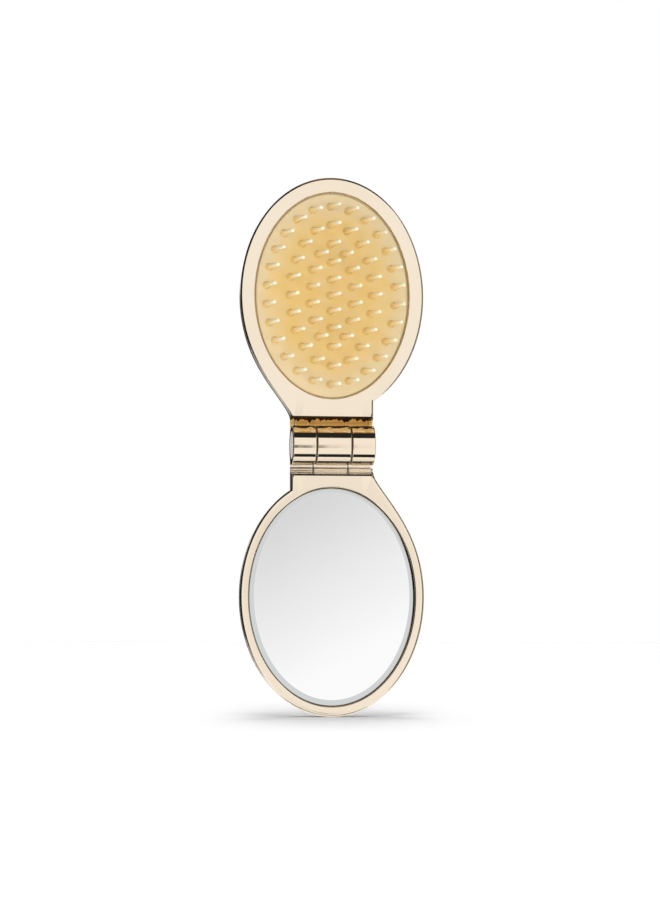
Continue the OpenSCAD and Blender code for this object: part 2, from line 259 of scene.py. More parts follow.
# %% Soft ripple
def build_ripple():
    """The slow waviness of a moulded, coated surface, as a normal."""
    group, given, put = new_group("Soft ripple", {"Strength": 0.1}, {"Normal": "NodeSocketVector"})
    broad = noise(group, 34.0, 1.0)
    fine = noise(group, 160.0, 2.0)
    height = math_node(group, "ADD", broad, math_node(group, "MULTIPLY", fine, 0.12))
    bump = group.nodes.new("ShaderNodeBump")
    bump.inputs["Distance"].default_value = 0.0006
    group.links.new(given.outputs["Strength"], bump.inputs["Strength"])
    group.links.new(height, bump.inputs["Height"])
    group.links.new(bump.outputs["Normal"], put.inputs["Normal"])
    return group


# %% Handling marks
def build_marks():
    """Hairline scratches and smears: a mask of scratches and a roughness that varies over the surface."""
    group, given, put = new_group(
        "Handling marks",
        {"Roughness": 0.1, "Smear": 0.05, "Scratch": 0.1},
        {"Mask": "NodeSocketFloat", "Roughness": "NodeSocketFloat"},
    )
    one_way = remap(group, noise(group, 420.0, 3.0, 0.6, (1.0, 1.0, 0.06)), 0.66, 0.74)
    other_way = remap(group, noise(group, 380.0, 3.0, 0.6, (0.07, 1.0, 1.0)), 0.67, 0.75)
    where = remap(group, noise(group, 60.0, 1.0), 0.5, 0.7)
    both = math_node(group, "MAXIMUM", one_way, other_way)
    mask = math_node(group, "MULTIPLY", both, where)
    smear = math_node(group, "MULTIPLY", noise(group, 45.0, 3.0), given.outputs["Smear"])
    scratched = math_node(group, "MULTIPLY", mask, given.outputs["Scratch"])
    rough = math_node(group, "ADD", given.outputs["Roughness"], smear)
    rough = math_node(group, "ADD", rough, scratched, clamp=True)
    group.links.new(mask, put.inputs["Mask"])
    group.links.new(rough, put.inputs["Roughness"])
    return group


# %% Settled dust
def build_dust():
    """A mask of fine dust, densest on faces that look up, in patches."""
    group, given, put = new_group("Settled dust", {"Amount": 0.1}, {"Mask": "NodeSocketFloat"})
    geometry = group.nodes.new("ShaderNodeNewGeometry")
    parts = group.nodes.new("ShaderNodeSeparateXYZ")
    group.links.new(geometry.outputs["Normal"], parts.inputs["Vector"])
    up = remap(group, parts.outputs["Z"], 0.1, 1.0)
    specks = remap(group, noise(group, 900.0, 4.0, 0.7), 0.45, 0.75)
    dusty = math_node(group, "MULTIPLY", math_node(group, "MULTIPLY", up, specks), given.outputs["Amount"])
    group.links.new(dusty, put.inputs["Mask"])
    return group


RIPPLE = build_ripple()
MARKS = build_marks()
DUST = build_dust()
print("shader groups:", [g.name for g in bpy.data.node_groups])

# %% [markdown]
# ## Materials
# A finish is a Principled shader whose colour and roughness change a little over the surface. Three small
# helpers keep the recipes short: one makes the material, one places a shader group in it, and one mixes two
# colours by a mask. The numbers that are the same all over a piece are set on the shader itself.


# %% Material helpers
def new_material(name):
    """A node material and its Principled shader."""
    material = bpy.data.materials.new(name)
    material.use_nodes = True
    tree = material.node_tree
    shader = tree.nodes["Principled BSDF"]
    return material, tree, shader


def use_group(tree, group, **values):
    """Places a shader group and sets its named values."""
    node = tree.nodes.new("ShaderNodeGroup")
    node.node_tree = group
    for label, value in values.items():
        node.inputs[label].default_value = value
    return node


def blend_colour(tree, factor, a, b):
    """Mixes two colours, each a tuple or a socket, by a mask."""
    node = tree.nodes.new("ShaderNodeMix")
    node.data_type = "RGBA"
    tree.links.new(factor, node.inputs["Factor"])
    for slot_in, value in ((node.inputs["A"], a), (node.inputs["B"], b)):
        if isinstance(value, tuple):
            slot_in.default_value = (*value, 1.0)
        else:
            tree.links.new(value, slot_in)
    return node.outputs["Result"]


# %% [markdown]
# ## The champagne coat
# The shells are metal to the eye: a metallic shader whose base colour is what the coat reflects. One bounce
# gives pale cream, and a reflection of the coat in itself gives orange. The coves beside the barrel get
# colours of their own, part metal and part plastic, and these colours are painted reflection and shade. The
# upper cove is painted amber in place of the coat reflected in itself, up to a ragged edge. Beyond that edge
# a painted dark band stands for the shade and dark reflection under the lip. The lower cove is painted pale,
# with fine dark lines of painted reflection along it and a thin painted dark line at its lip. The masks are
# made from the part's own coordinates, so they stay where they are on the part.


# %% Champagne coat
DUST_COLOUR = (0.75, 0.73, 0.70)
# Painted colours: dark lines of painted reflection, and a dark band of painted shade and reflection.
PAINTED_REFLECTION_LINE_COLOUR = (0.16, 0.13, 0.09)
PAINTED_DARK_BAND_COLOUR = (0.012, 0.006, 0.002)
EDGE_BLUR = 0.12 * MM


def coat_material(name, colour, deep, roughness, ripple, metallic=1.0, painted_dark_band=None, drawn=0.0):
    """Polished metallised plastic with a slow ripple, faint marks and a little dust on top.

    Of the two last arguments, the first is (direction, height, wobble) of a ragged edge along z, in metres,
    beyond which a dark band is painted as shade and dark reflection under a lip. The second is the strength
    of fine dark lines along x, painted as reflections in a hollow.
    """
    material, tree, shader = new_material(name)
    marks = use_group(tree, MARKS, Roughness=roughness, Smear=0.05, Scratch=0.12)
    dust = use_group(tree, DUST, Amount=0.05)
    wave = use_group(tree, RIPPLE, Strength=ripple)
    tone = remap(tree, noise(tree, 26.0, 2.0), 0.35, 0.65)
    base = blend_colour(tree, tone, colour, deep)
    base = blend_colour(tree, dust.outputs["Mask"], base, DUST_COLOUR)
    # Painted reflection: fine dark lines along x, in place of the folded reflections in a hollow.
    if drawn:
        lines = remap(tree, noise(tree, 1300.0, 2.0, 0.6, (0.02, 0.0, 1.0)), 0.55, 0.62, 0.0, drawn)
        base = blend_colour(tree, lines, base, PAINTED_REFLECTION_LINE_COLOUR)
    # Painted shade and reflection: a dark band beyond a ragged edge along z.
    if painted_dark_band:
        direction, height, wobble = painted_dark_band
        where = tree.nodes.new("ShaderNodeTexCoord")
        axes = tree.nodes.new("ShaderNodeSeparateXYZ")
        tree.links.new(where.outputs["Object"], axes.inputs["Vector"])
        ragged = math_node(tree, "MULTIPLY", noise(tree, 330.0, 2.0, 0.6, (1.0, 0.0, 0.0)), wobble)
        edge = math_node(tree, "ADD", math_node(tree, "MULTIPLY", axes.outputs["Z"], direction), ragged)
        painted_dark_band_mask = remap(tree, edge, height, height + EDGE_BLUR)
        base = blend_colour(tree, painted_dark_band_mask, base, PAINTED_DARK_BAND_COLOUR)
    tree.links.new(base, shader.inputs["Base Color"])
    tree.links.new(marks.outputs["Roughness"], shader.inputs["Roughness"])
    tree.links.new(wave.outputs["Normal"], shader.inputs["Normal"])
    shader.inputs["Metallic"].default_value = metallic
    return material


# %% Four coats
CHAMPAGNE = coat_material("champagne coat", (0.922, 0.803, 0.645), (0.90, 0.778, 0.617), 0.08, 0.10)
POLISHED = coat_material("polished barrel coat", (0.93, 0.80, 0.64), (0.91, 0.78, 0.61), 0.045, 0.14)
# Painted reflection: amber in place of the coat reflected in itself, with a painted dark band under the lip.
UPPER_HOLLOW = coat_material(
    "amber lacquer in the upper hollow", (1.0, 0.66, 0.23), (0.80, 0.38, 0.06), 0.22, 0.9,
    metallic=0.4, painted_dark_band=(1.0, AXIS[2] + 10.95 * MM, 5.0 * MM),
)
# Painted reflection: pale, with dark lines of painted reflection and a painted dark line at the lip.
LOWER_HOLLOW = coat_material(
    "pale lacquer in the lower hollow", (1.0, 0.97, 0.92), (0.98, 0.94, 0.88), 0.12, 0.15,
    metallic=0.85, painted_dark_band=(-1.0, 9.55 * MM - AXIS[2], 0.3 * MM), drawn=0.8,
)

# %% [markdown]
# ## Cushion and pins
# Both are a slightly translucent plastic, so they get subsurface scattering under a glossy skin. The cushion
# is painted deeper in the middle and paler towards its rim. The pale rim is painted light, in place of light
# that gets in at the edge. A pin is painted deep in its foot and pale in its tip, by its height above the
# cushion. The deep foot is partly thick plastic and partly painted shade, and the pale tip is a painted
# highlight.


# %% Cushion plastic
SCATTER = (1.0, 0.62, 0.28)


def milky_plastic(name, middle, rim, roughness, depth):
    """Translucent cream plastic that goes from one colour to another between middle and rim, with clouds.
    The paler rim colour is painted light.
    """
    material, tree, shader = new_material(name)
    where = tree.nodes.new("ShaderNodeTexCoord")
    spread = tree.nodes.new("ShaderNodeMapping")
    spread.vector_type = "POINT"
    centre_z = AXIS[2] + CENTRE * MM
    half_width, half_height = HALF_W / 2 * MM, HALF_H / 2 * MM
    spread.inputs["Location"].default_value = (0.0, 0.0, -centre_z / half_height)
    spread.inputs["Scale"].default_value = (1 / half_width, 0.0, 1 / half_height)
    length = tree.nodes.new("ShaderNodeVectorMath")
    length.operation = "LENGTH"
    tree.links.new(where.outputs["Object"], spread.inputs["Vector"])
    tree.links.new(spread.outputs["Vector"], length.inputs[0])
    painted_rim_light = remap(tree, length.outputs["Value"], 0.55, 0.86)
    cloud = remap(tree, noise(tree, 160.0, 2.0), 0.3, 0.7, 0.0, 0.34)
    mask = math_node(tree, "ADD", painted_rim_light, cloud, clamp=True)
    tree.links.new(blend_colour(tree, mask, middle, rim), shader.inputs["Base Color"])
    marks = use_group(tree, MARKS, Roughness=roughness, Smear=0.08, Scratch=0.1)
    wave = use_group(tree, RIPPLE, Strength=0.12)
    tree.links.new(marks.outputs["Roughness"], shader.inputs["Roughness"])
    tree.links.new(wave.outputs["Normal"], shader.inputs["Normal"])
    shader.inputs["Subsurface Weight"].default_value = 0.35
    shader.inputs["Subsurface Radius"].default_value = SCATTER
    shader.inputs["Subsurface Scale"].default_value = depth
    shader.inputs["IOR"].default_value = 1.5
    return material


# The paler rim colour is painted light.
CUSHION = milky_plastic("cushion plastic", (0.835, 0.592, 0.212), (0.815, 0.65, 0.385), 0.28, 2.2 * MM)


# %% Pin plastic
def pin_plastic(name, foot, shank, tip):
    """The plastic of the pins, in three colours by the height above the cushion. The deep foot is partly
    painted shade, and the pale tip is a painted highlight.
    """
    material, tree, shader = new_material(name)
    where = tree.nodes.new("ShaderNodeTexCoord")
    axes = tree.nodes.new("ShaderNodeSeparateXYZ")
    tree.links.new(where.outputs["Object"], axes.inputs["Vector"])
    start = AXIS[1] + CUSHION_Y * MM
    # Painted shade at the foot fades out up the shank, and a painted highlight comes in at the tip.
    out_of_painted_foot_shade = remap(tree, axes.outputs["Y"], start - 0.2 * MM, start - 4.0 * MM)
    painted_tip_highlight = remap(tree, axes.outputs["Y"], start - 4.5 * MM, start - 9.0 * MM)
    colour = blend_colour(tree, out_of_painted_foot_shade, foot, shank)
    colour = blend_colour(tree, painted_tip_highlight, colour, tip)
    tree.links.new(colour, shader.inputs["Base Color"])
    marks = use_group(tree, MARKS, Roughness=0.14, Smear=0.08, Scratch=0.1)
    tree.links.new(marks.outputs["Roughness"], shader.inputs["Roughness"])
    shader.inputs["Subsurface Weight"].default_value = 0.3
    shader.inputs["Subsurface Radius"].default_value = SCATTER
    shader.inputs["Subsurface Scale"].default_value = 1.0 * MM
    shader.inputs["IOR"].default_value = 1.5
    return material


# The foot colour is partly painted shade, and the tip colour is a painted highlight.
PIN = pin_plastic("pin plastic", (0.84, 0.58, 0.21), (0.93, 0.73, 0.39), (1.0, 0.94, 0.72))

# %% [markdown]
# ## Plain finishes
# Tray, washers, tape, caps and steel parts show little or nothing, but each gets the finish that it would
# have on the bench. Moulded plastic has a faint mottle. Steel has the fine lines that a drawing die leaves.
# The two hinge caps are cream plastic without a coat: a flat coated disc would turn black in front of a flag.


# %% Plain moulded and metal finishes
def moulded(name, colour, darker, roughness):
    """Plain moulded plastic with a faint mottle and handling marks."""
    material, tree, shader = new_material(name)
    tone = remap(tree, noise(tree, 120.0, 3.0), 0.35, 0.65)
    tree.links.new(blend_colour(tree, tone, colour, darker), shader.inputs["Base Color"])
    marks = use_group(tree, MARKS, Roughness=roughness, Smear=0.12, Scratch=0.15)
    wave = use_group(tree, RIPPLE, Strength=0.2)
    tree.links.new(marks.outputs["Roughness"], shader.inputs["Roughness"])
    tree.links.new(wave.outputs["Normal"], shader.inputs["Normal"])
    return material


def drawn_steel(name, colour, roughness):
    """Bright steel wire and turned steel, with fine lines left by the die."""
    material, tree, shader = new_material(name)
    lines = remap(tree, noise(tree, 900.0, 2.0, 0.6, (0.05, 1.0, 1.0)), 0.4, 0.6)
    darker = tuple(0.8 * c for c in colour)
    tree.links.new(blend_colour(tree, lines, colour, darker), shader.inputs["Base Color"])
    marks = use_group(tree, MARKS, Roughness=roughness, Smear=0.1, Scratch=0.2)
    tree.links.new(marks.outputs["Roughness"], shader.inputs["Roughness"])
    shader.inputs["Metallic"].default_value = 1.0
    return material


CAP = moulded("cream cap plastic", (0.92, 0.87, 0.78), (0.90, 0.84, 0.75), 0.3)
CARRIER = moulded("carrier plastic", (0.80, 0.72, 0.56), (0.76, 0.67, 0.50), 0.45)
NYLON = moulded("brown nylon", (0.085, 0.045, 0.022), (0.06, 0.03, 0.015), 0.42)
FOAM = moulded("foam tape", (0.05, 0.05, 0.05), (0.03, 0.03, 0.03), 0.85)
STEEL = drawn_steel("bright steel", (0.70, 0.70, 0.72), 0.24)

# %% [markdown]
# ## Silvered glass
# Clear glass over a layer of silver could be built as two pieces, but each would need its own reflections to
# line up. The silver does the reflecting, so the plate is simply a mirror-bright metal with a thin veil. The
# ground bevel is a little darker and rougher, and the edge is covered by backing paint.


# %% Mirror finishes
def silvered(name, tint, roughness):
    """Silvered glass as a mirror-bright metal with a faint veil."""
    material, tree, shader = new_material(name)
    marks = use_group(tree, MARKS, Roughness=roughness, Smear=0.012, Scratch=0.03)
    veil = remap(tree, noise(tree, 30.0, 2.0), 0.4, 0.7, 0.0, 0.25)
    duller = tuple(0.96 * c for c in tint)
    tree.links.new(blend_colour(tree, veil, tint, duller), shader.inputs["Base Color"])
    tree.links.new(marks.outputs["Roughness"], shader.inputs["Roughness"])
    shader.inputs["Metallic"].default_value = 1.0
    return material


SILVER = silvered("mirror face", (0.92, 0.92, 0.92), 0.02)
BEVEL = silvered("mirror bevel", (0.64, 0.658, 0.66), 0.05)
# Backing paint on the glass edge, also used as painted shade on the pocket wall of the frame.
BACKING_AND_SHADE = moulded("mirror backing paint", (0.15, 0.14, 0.10), (0.11, 0.10, 0.07), 0.5)
print("materials:", [m.name for m in bpy.data.materials])

# %% [markdown]
# ## The front shell of a half
# Real front shells come out of the mould with a flat face, a rounded outer edge and a skirt that runs back to
# the seam. The neck is then scooped to make room for the hinge: a round cove with a soft lip. Here the shell
# is a loft, and the scoop and the window are cut with two tools that already have the soft edges in their
# own shape. A bevel afterwards could give the same edges, but it fails where three curved cuts meet. The
# names that start with `CORE` belong to the solid neck behind the barrel, and those with `COVE` to the scoop.

# %% Sizes of shells and hinge
WALL = 1.4
SEAM = 6.7
SEAM_CUT = 0.25
EDGE_R = 1.0
PLATE = 1.6
BARREL_R = 6.6
CLEAR_R = BARREL_R + 0.25
ACROSS = 20
BARREL_HALF = 13.6
MIDDLE_HALF = 5.6
OUTER_FROM = 6.0
CORE_HALF = NECK_W / 2 - 1.8
CORE_GAP = 0.35
CORE_BACK = 7.6
CORE_R = 8.2
COVE_R = 2.8
COVE_V = 6.5
COVE_WALL = 1.6
BRUSH_LIP_R = 0.5
MIRROR_LIP_R = 1.0
TUCK = 0.5
print("wall", WALL, "mm, seam", SEAM, "mm deep, barrel", 2 * BARREL_R, "mm thick")


# %% Face and skirt
def arc(cx, cy, radius_x, radius_y, start, end, steps):
    """Points of an elliptic arc in a profile, with its angles in degrees."""
    t = np.radians(np.linspace(start, end, steps + 1))
    return [(cx + radius_x * math.cos(a), cy + radius_y * math.sin(a)) for a in t]


def tucked(y):
    """How far the side wall has drawn in at a depth, in the soft curve that leads into the back."""
    return TUCK * ((y - FACE - EDGE_R) / (SEAM - FACE - EDGE_R)) ** 2


def front_shell(name, side, plate):
    """Face plate and skirt of a half, before anything is cut out of it."""
    profile = [(WALL, FACE + plate), (WALL, SEAM), (TUCK + 0.15, SEAM)]
    profile += [(tucked(y), y) for y in (SEAM - SEAM_CUT, 5.4, 4.4, 3.4, 2.4)]
    profile += arc(EDGE_R, FACE + EDGE_R, EDGE_R, EDGE_R, 180, 270, 10)
    profile += [(EDGE_R + 0.15, FACE)]
    return loft(name, OUTLINE, profile, side)


# %% [markdown]
# ## Neck and cove
# Both are prisms across the neck, so each is one section in v and y, drawn with arcs. The solid core stands
# behind the cove like a wall of even thickness and meets a larger arc round the hinge axis. The section of
# the scoop runs along the lip and into the hollow, so one cut makes the cove and its soft edge.


# %% Neck and cove
def extrude_x(name, section, x0, x1, side):
    """A prism across the half: section is a closed list of (v, y)."""
    n = len(section)
    points = [(x, y, v) for x in (x0, x1) for v, y in section]
    faces = [tuple(range(n)), tuple(range(n, 2 * n))]
    faces += [(i, (i + 1) % n, n + (i + 1) % n, n + i) for i in range(n)]
    return new_object(name, points, faces, side)


def neck_core(side):
    """The solid part of a neck, behind the barrel and the cove."""
    behind = COVE_R + COVE_WALL
    meet_v = (CORE_R**2 - behind**2 + COVE_V**2) / (2 * COVE_V)
    big = math.degrees(math.acos(meet_v / CORE_R))
    small = math.degrees(math.acos((meet_v - COVE_V) / behind))
    top = math.degrees(math.asin(CORE_BACK / CORE_R))
    section = [(0.6, 0.6)]
    section += arc(COVE_V, 0.0, behind, behind, 8, small, 16)
    section += arc(0.0, 0.0, CORE_R, CORE_R, big + 1, top, 16)
    section += [(0.6, CORE_BACK)]
    return extrude_x("core", section, -CORE_HALF, CORE_HALF, side)


def neck_scoop(side, lip_r):
    """What the cove takes away: a prism whose edge already has the soft lip."""
    reach = math.sqrt(COVE_R**2 + 2 * COVE_R * lip_r)
    turn = math.degrees(math.atan2(lip_r, reach))
    lip = arc(COVE_V + reach, FACE + lip_r, lip_r, lip_r, 270, 180 + turn, 10)
    hollow = arc(COVE_V, FACE, COVE_R, COVE_R, turn, 104, 40)
    section = [(COVE_V + reach, FACE - 4)] + lip + hollow[1:]
    section += [(-2, hollow[-1][1]), (-2, FACE - 4)]
    return extrude_x("scoop", section, -ACROSS, ACROSS, side)


# %% Window and round cuts
def window(side, width, height, depth, edge, ring=1.0):
    """A cutter for an oval window with a rounded front edge and a ring of points at one depth."""
    profile = [(-edge - 0.001, FACE - 3)]
    profile += arc(-edge, FACE + edge, edge, edge, -90, 0, 6)
    profile += [(0.0, FACE + ring), (0.0, depth)]
    return loft("window", oval(width, height, 288), profile, side)


def cylinder_x(x0, x1, radius, side):
    """A plain round cutter along the hinge axis."""
    return extrude_x("round cut", arc(0.0, 0.0, radius, radius, 0, 360, 128)[:-1], x0, x1, side)


# %% [markdown]
# ## Painted reflections in the cove
# The coves get materials of their own, with painted reflection and painted shade. Their faces are found by
# where they lie: within a hair of the cove's arc or of the lip's arc, and not on the ends of the neck.


# %% Painted reflections in the cove
def from_axis(face):
    """The middle of a face as (x, y, v), in millimetres from the hinge axis, with v positive."""
    x, y, v = (np.array(face.center) - AXIS) / MM
    return x, y, abs(v)


def paint_reflection_in_cove(obj, lip, material, slack=0.06):
    """Gives the faces of the cove and its lip a material slot of their own, for painted reflection and shade.
    """
    obj.data.materials.append(material)
    slot = len(obj.data.materials) - 1
    reach = math.sqrt(COVE_R**2 + 2 * COVE_R * lip)
    for face in obj.data.polygons:
        y, v = from_axis(face)[1:]
        in_cove = abs(math.hypot(v - COVE_V, y - FACE) - COVE_R) < slack and y > FACE
        on_lip = abs(math.hypot(v - COVE_V - reach, y - FACE - lip) - lip) < slack and y > FACE + 0.001
        if abs(face.normal.x) < 0.5 and (in_cove or on_lip):
            face.material_index = slot


# %% [markdown]
# ## Cutting, shading, dressing
# Three steps end most pieces. Booleans use the manifold solver: the shells are closed skins, and it keeps
# them closed where the exact solver left nothing of them. Smooth shading keeps sharp edges sharp, and
# weighted normals keep flat faces flat next to a small radius, because polished metal shows each bump. Last,
# a piece gets its material, the body that it rides on and the CAD nodes that it stands for.


# %% Cutting, shading, dressing
def carve(obj, operation, tool):
    """Adds or cuts the shape of tool, then removes tool."""
    step = obj.modifiers.new("carve", "BOOLEAN")
    step.operation = operation
    step.solver = "MANIFOLD"
    step.object = tool
    graph = bpy.context.evaluated_depsgraph_get()
    mesh = bpy.data.meshes.new_from_object(obj.evaluated_get(graph))
    obj.modifiers.remove(step)
    obj.data = mesh
    bpy.data.objects.remove(tool)
    return obj


def smooth(obj, angle=32):
    """Smooth shading with crisp edges, and flat faces kept flat by their area."""
    mesh = obj.data
    mesh.polygons.foreach_set("use_smooth", [True] * len(mesh.polygons))
    mesh.set_sharp_from_angle(angle=math.radians(angle))
    weigh = obj.modifiers.new("flat faces stay flat", "WEIGHTED_NORMAL")
    weigh.keep_sharp = True
    weigh.weight = 100
    return obj


def dress(obj, body, material, slot_name, *nodes):
    """Gives a finished piece its body, its material and the CAD nodes it stands for."""
    obj.data.materials.clear()
    obj.data.materials.append(material)
    if nodes:
        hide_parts(*nodes)
    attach(obj, body)
    print(obj.name, len(obj.data.polygons), "faces on", body)
    return obj


# %% [markdown]
# ## The brush frame
# The opening is a little larger than the cushion, which leaves the thin dark line round it. The order of the
# cuts matters: first the barrel gets its room, then the solid neck comes in, then the cove and the place of
# the middle knuckle are taken out again.

# %% Brush frame
opening_low, opening_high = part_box("cushion_pad")
FLANGE = 0.8
CUSHION_W = (opening_high.x - opening_low.x) / MM - 2 * FLANGE
CUSHION_H = (opening_high.z - opening_low.z) / MM - 2 * FLANGE
CUSHION_GAP = 0.3
OPENING_W = CUSHION_W + 2 * CUSHION_GAP
OPENING_H = CUSHION_H + 2 * CUSHION_GAP
OPENING_EDGE = 0.3

brush_frame = front_shell("brush_frame_shell", BRUSH, PLATE)
carve(brush_frame, "DIFFERENCE", cylinder_x(-ACROSS, ACROSS, CLEAR_R, BRUSH))
carve(brush_frame, "UNION", neck_core(BRUSH))
carve(brush_frame, "DIFFERENCE", neck_scoop(BRUSH, BRUSH_LIP_R))
carve(brush_frame, "DIFFERENCE", cylinder_x(-OUTER_FROM, OUTER_FROM, CLEAR_R, BRUSH))
carve(brush_frame, "DIFFERENCE", window(BRUSH, OPENING_W, OPENING_H, FACE + PLATE + 1, OPENING_EDGE))
smooth(brush_frame)
dress(brush_frame, "brush_half", CHAMPAGNE, "shell", "brush_frame")
paint_reflection_in_cove(brush_frame, BRUSH_LIP_R, UPPER_HOLLOW)

# %% [markdown]
# ## Wall of the well
# Behind the window an oval wall guides the tray of the cushion when it sinks. It is hidden when the brush is
# open, but it closes the view into the shell while the cushion is down, so it is a piece of its own.


# %% Well wall
def oval_tube(name, outer_w, outer_h, wall, y0, y1, side):
    """An oval tube along y."""
    profile = [(wall, y0), (wall, y1), (0.0, y1), (0.0, y0)]
    outline = oval(outer_w, outer_h, 200)
    n = len(outline)
    move = mitres(outline)
    points, faces = [], []
    for inset, depth in profile:
        ring = outline + inset * move
        points += [(x, depth, v) for x, v in ring]
    for k in range(4):
        a, b = k * n, (k + 1) % 4 * n
        faces += [(a + i, a + (i + 1) % n, b + (i + 1) % n, b + i) for i in range(n)]
    return new_object(name, points, faces, side)


WELL_BACK = 11.4
WELL_WALL = 0.95
WELL_ROOM = 1.15
WELL_W = OPENING_W + 2 * (WELL_ROOM + WELL_WALL)
WELL_H = OPENING_H + 2 * (WELL_ROOM + WELL_WALL)
well = oval_tube("brush_well_wall", WELL_W, WELL_H, WELL_WALL, FACE + PLATE - 0.2, WELL_BACK, BRUSH)
dress(smooth(well), "brush_half", CHAMPAGNE, "shell", "brush_frame")

# %% [markdown]
# ## Knuckles
# The hinge is a barrel in three pieces. Each knuckle is turned from a profile, and the small radius at both
# of its ends matters more than its size suggests: two such radii and the dark washer between them make the
# fine lines that divide the barrel.


# %% Knuckle pieces
SHAFT_R = 2.0
SHAFT_PLAY = 0.05
CAP_R = 4.6
CAP_DEPTH = 2.6
KNUCKLE_EDGE_R = 0.28


def turn_x(name, profile, side=BRUSH, steps=128):
    """A solid of revolution round the hinge axis: profile is a list of (x, radius)."""
    points, faces = [], []
    n = len(profile)
    for s in range(steps):
        a = 2 * math.pi * s / steps
        points += [(x, -r * math.cos(a), r * math.sin(a)) for x, r in profile]
    for s in range(steps):
        t = (s + 1) % steps
        faces += [(s * n + i, s * n + (i + 1) % n, t * n + (i + 1) % n, t * n + i) for i in range(n)]
    return new_object(name, points, faces, side)


def knuckle(name, x0, x1, bore, cap_side=0):
    """A turned sleeve with rounded ends, and a wider pocket for the end cap on one side."""
    r = KNUCKLE_EDGE_R
    left_end = arc(x0 + r, BARREL_R - r, r, r, 180, 90, 6)
    right_end = arc(x1 - r, BARREL_R - r, r, r, 90, 0, 6)
    inner = [(x1, bore), (x0, bore)]
    if cap_side > 0:
        inner = [(x1, CAP_R), (x1 - CAP_DEPTH, CAP_R), (x1 - CAP_DEPTH, bore), (x0, bore)]
    if cap_side < 0:
        inner = [(x1, bore), (x0 + CAP_DEPTH, bore), (x0 + CAP_DEPTH, CAP_R), (x0, CAP_R)]
    between_ends = [(x0 + (x1 - x0) * k / 4, BARREL_R) for k in (1, 2, 3)]
    return smooth(turn_x(name, left_end + between_ends + right_end + inner))


left = knuckle("brush_knuckle_left", -BARREL_HALF, -OUTER_FROM, SHAFT_R + SHAFT_PLAY, -1)
dress(left, "brush_half", POLISHED, "shell", "brush_frame")
right = knuckle("brush_knuckle_right", OUTER_FROM, BARREL_HALF, SHAFT_R + SHAFT_PLAY, 1)
dress(right, "brush_half", POLISHED, "shell", "brush_frame")
centre_knuckle = knuckle("mirror_knuckle", -MIDDLE_HALF, MIDDLE_HALF, SHAFT_R)
dress(centre_knuckle, "mirror_half", POLISHED, "shell", "mirror_frame")

# %% [markdown]
# ## The mirror frame
# This is the same shell with a thicker plate, because the glass lies in a pocket on foam tape. Its neck stays
# whole in the middle, where the third knuckle joins it. The coat reaches only `COAT_REACH` into the pocket.
# Behind that the wall and floor are painted dark in the colour of the backing paint. This is painted shade,
# and it draws the dark line round the glass.

# %% Mirror frame
glass_low, glass_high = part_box("mirror_glass")
GLASS_W = (glass_high.x - glass_low.x) / MM
GLASS_H = (glass_high.z - glass_low.z) / MM
GLASS_GAP = 0.3
GLASS_RECESS = 1.0
GLASS_T = 1.9
TAPE_T = 0.6
POCKET = GLASS_RECESS + GLASS_T + TAPE_T
POCKET_FLOOR = 1.2
COAT_REACH = 1.3
POCKET_W = GLASS_W + 2 * GLASS_GAP
POCKET_H = GLASS_H + 2 * GLASS_GAP
POCKET_EDGE = 0.45

mirror_frame = front_shell("mirror_frame_shell", MIRROR, POCKET + POCKET_FLOOR)
carve(mirror_frame, "DIFFERENCE", cylinder_x(-ACROSS, ACROSS, CLEAR_R, MIRROR))
carve(mirror_frame, "UNION", neck_core(MIRROR))
carve(mirror_frame, "DIFFERENCE", neck_scoop(MIRROR, MIRROR_LIP_R))
carve(mirror_frame, "DIFFERENCE", cylinder_x(-ACROSS, -MIDDLE_HALF, CLEAR_R, MIRROR))
carve(mirror_frame, "DIFFERENCE", cylinder_x(MIDDLE_HALF, ACROSS, CLEAR_R, MIRROR))
pocket = window(MIRROR, POCKET_W, POCKET_H, FACE + POCKET, POCKET_EDGE, COAT_REACH)
carve(mirror_frame, "DIFFERENCE", pocket)
smooth(mirror_frame)
dress(mirror_frame, "mirror_half", CHAMPAGNE, "shell", "mirror_frame")
paint_reflection_in_cove(mirror_frame, MIRROR_LIP_R, LOWER_HOLLOW)


# %% Painted shade in the pocket
def paint_shade_in_pocket(obj, material, slack=0.02):
    """Paints the wall and the floor of the pocket, behind the coat, dark as shade, in a material slot of
    their own.
    """
    obj.data.materials.append(material)
    slot = len(obj.data.materials) - 1
    painted = 0
    for face in obj.data.polygons:
        x, y, v = from_axis(face)
        across = x / (POCKET_W / 2 + slack)
        along = (v - CENTRE) / (POCKET_H / 2 + slack)
        if across**2 + along**2 < 1 and FACE + COAT_REACH < y < FACE + POCKET + slack / 2:
            face.material_index = slot
            painted += 1
    print(painted, "faces of the pocket painted")


# Painted shade: the pocket behind the coat gets the dark colour of the backing paint.
paint_shade_in_pocket(mirror_frame, BACKING_AND_SHADE)

# %% [markdown]
# ## Back shells
# The backs are rounded like a pebble. The brush half is deep, because the pins have to sink into it, and the
# mirror half is thin. Each snaps into its front shell with a tongue, and a fine V groove marks the seam. Both
# curves of the side reach `BACK_CURVE` inwards; the inner one starts at `CURVE_Y` and the outer one, which is
# fuller, at `BELLY_Y`. The cuts for the hinge leave thin triangles in the flat middle, so they are merged.

# %% Back shells
CURVE_Y = 8.0
BELLY_Y = 6.2
BACK_CURVE = 8.0
BRUSH_BACK = FACE + 15.6
MIRROR_BACK = FACE + 10.5
ROOM = 0.1


def merge_flat(obj):
    """Makes one face of each flat area, so that no thin triangle shows in its shading."""
    work = bmesh.new()
    work.from_mesh(obj.data)
    bmesh.ops.dissolve_limit(work, angle_limit=math.radians(0.4), verts=work.verts, edges=work.edges)
    work.to_mesh(obj.data)
    work.free()
    return obj


